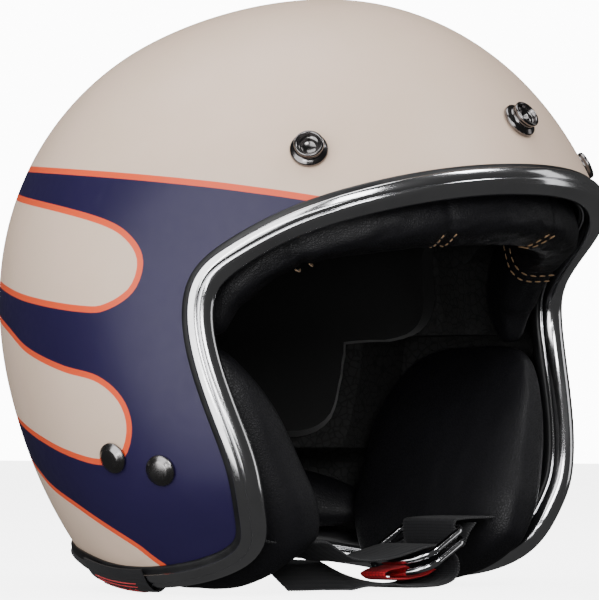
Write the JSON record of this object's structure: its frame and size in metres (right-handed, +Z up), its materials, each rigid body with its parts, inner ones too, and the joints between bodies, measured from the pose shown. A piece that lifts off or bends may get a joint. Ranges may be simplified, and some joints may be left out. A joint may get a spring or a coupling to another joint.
{
  "type": "open face motorcycle helmet",
  "caption": "Open face motorcycle helmet with bright edge trim, brow snaps, leather padding and a buckled chin strap with D-rings.",
  "frame": {"origin": "middle of the box, on the surface that the helmet stands on", "axes": "+Z up; the face opening looks along -Y; +X is the wearer's left"},
  "size_m": [0.2396, 0.2374, 0.2249],
  "materials": {
    "shell": "satin paint",
    "impact_liner": "expanded foam",
    "lining_fabric": "brushed",
    "rubber": "semi matte",
    "bright_trim": "polished",
    "tag": "woven",
    "black_nickel": "polished",
    "plain_steel": "plain",
    "padding_leather": "grained",
    "webbing": "ribbed weave",
    "ring_steel": "polished",
    "red_ribbon": "ribbed weave"
  },
  "bodies": {
    "helmet": {"shell": "shell", "impact_liner": "impact_liner", "crown_pad": "lining_fabric", "edge_channel": "rubber", "edge_bead": "bright_trim", "maker_tag": "tag", "brow_pad": "padding_leather", "neck_roll": "padding_leather", "cheek_pad_right": "padding_leather", "cheek_pad_left": "padding_leather", "strap_anchor_right": "webbing", "strap_anchor_left": "webbing", "strap_hanger_right": "plain_steel", "strap_hanger_left": "plain_steel", "brow_snap_right": "black_nickel", "brow_snap_washer_right": "plain_steel", "brow_snap_center": "black_nickel", "brow_snap_washer_center": "plain_steel", "brow_snap_left": "black_nickel", "brow_snap_washer_left": "plain_steel", "strap_rivet_front_right": "black_nickel", "strap_rivet_rear_right": "black_nickel", "strap_rivet_front_left": "black_nickel", "strap_rivet_rear_left": "black_nickel"},
    "chin_strap": {"strap_long": "webbing", "strap_short": "webbing"},
    "outer_ring": {"d_ring_outer": "ring_steel", "pull_tab": "red_ribbon"},
    "inner_ring": {"d_ring_inner": "ring_steel"}
  },
  "joints": [
    {"name": "chin_strap_swing", "type": "hinge", "parent": "helmet", "child": "chin_strap", "pos_m": [0, -0.038, 0.0229], "axis": [0.9966, 0, 0.0818], "range_deg": [-35, 20]},
    {"name": "outer_ring_turn", "type": "hinge", "parent": "chin_strap", "child": "outer_ring", "pos_m": [0.0335, -0.038, 0.0189], "axis": [0, 1, 0], "range_deg": [0, 2]},
    {"name": "inner_ring_turn", "type": "hinge", "parent": "chin_strap", "child": "inner_ring", "pos_m": [0.0325, -0.038, 0.0234], "axis": [0, 1, 0], "range_deg": [0, 2]}
  ],
  "couplings": [
    {"joint": "inner_ring_turn", "follows": "outer_ring_turn", "ratio": 1}
  ]
}
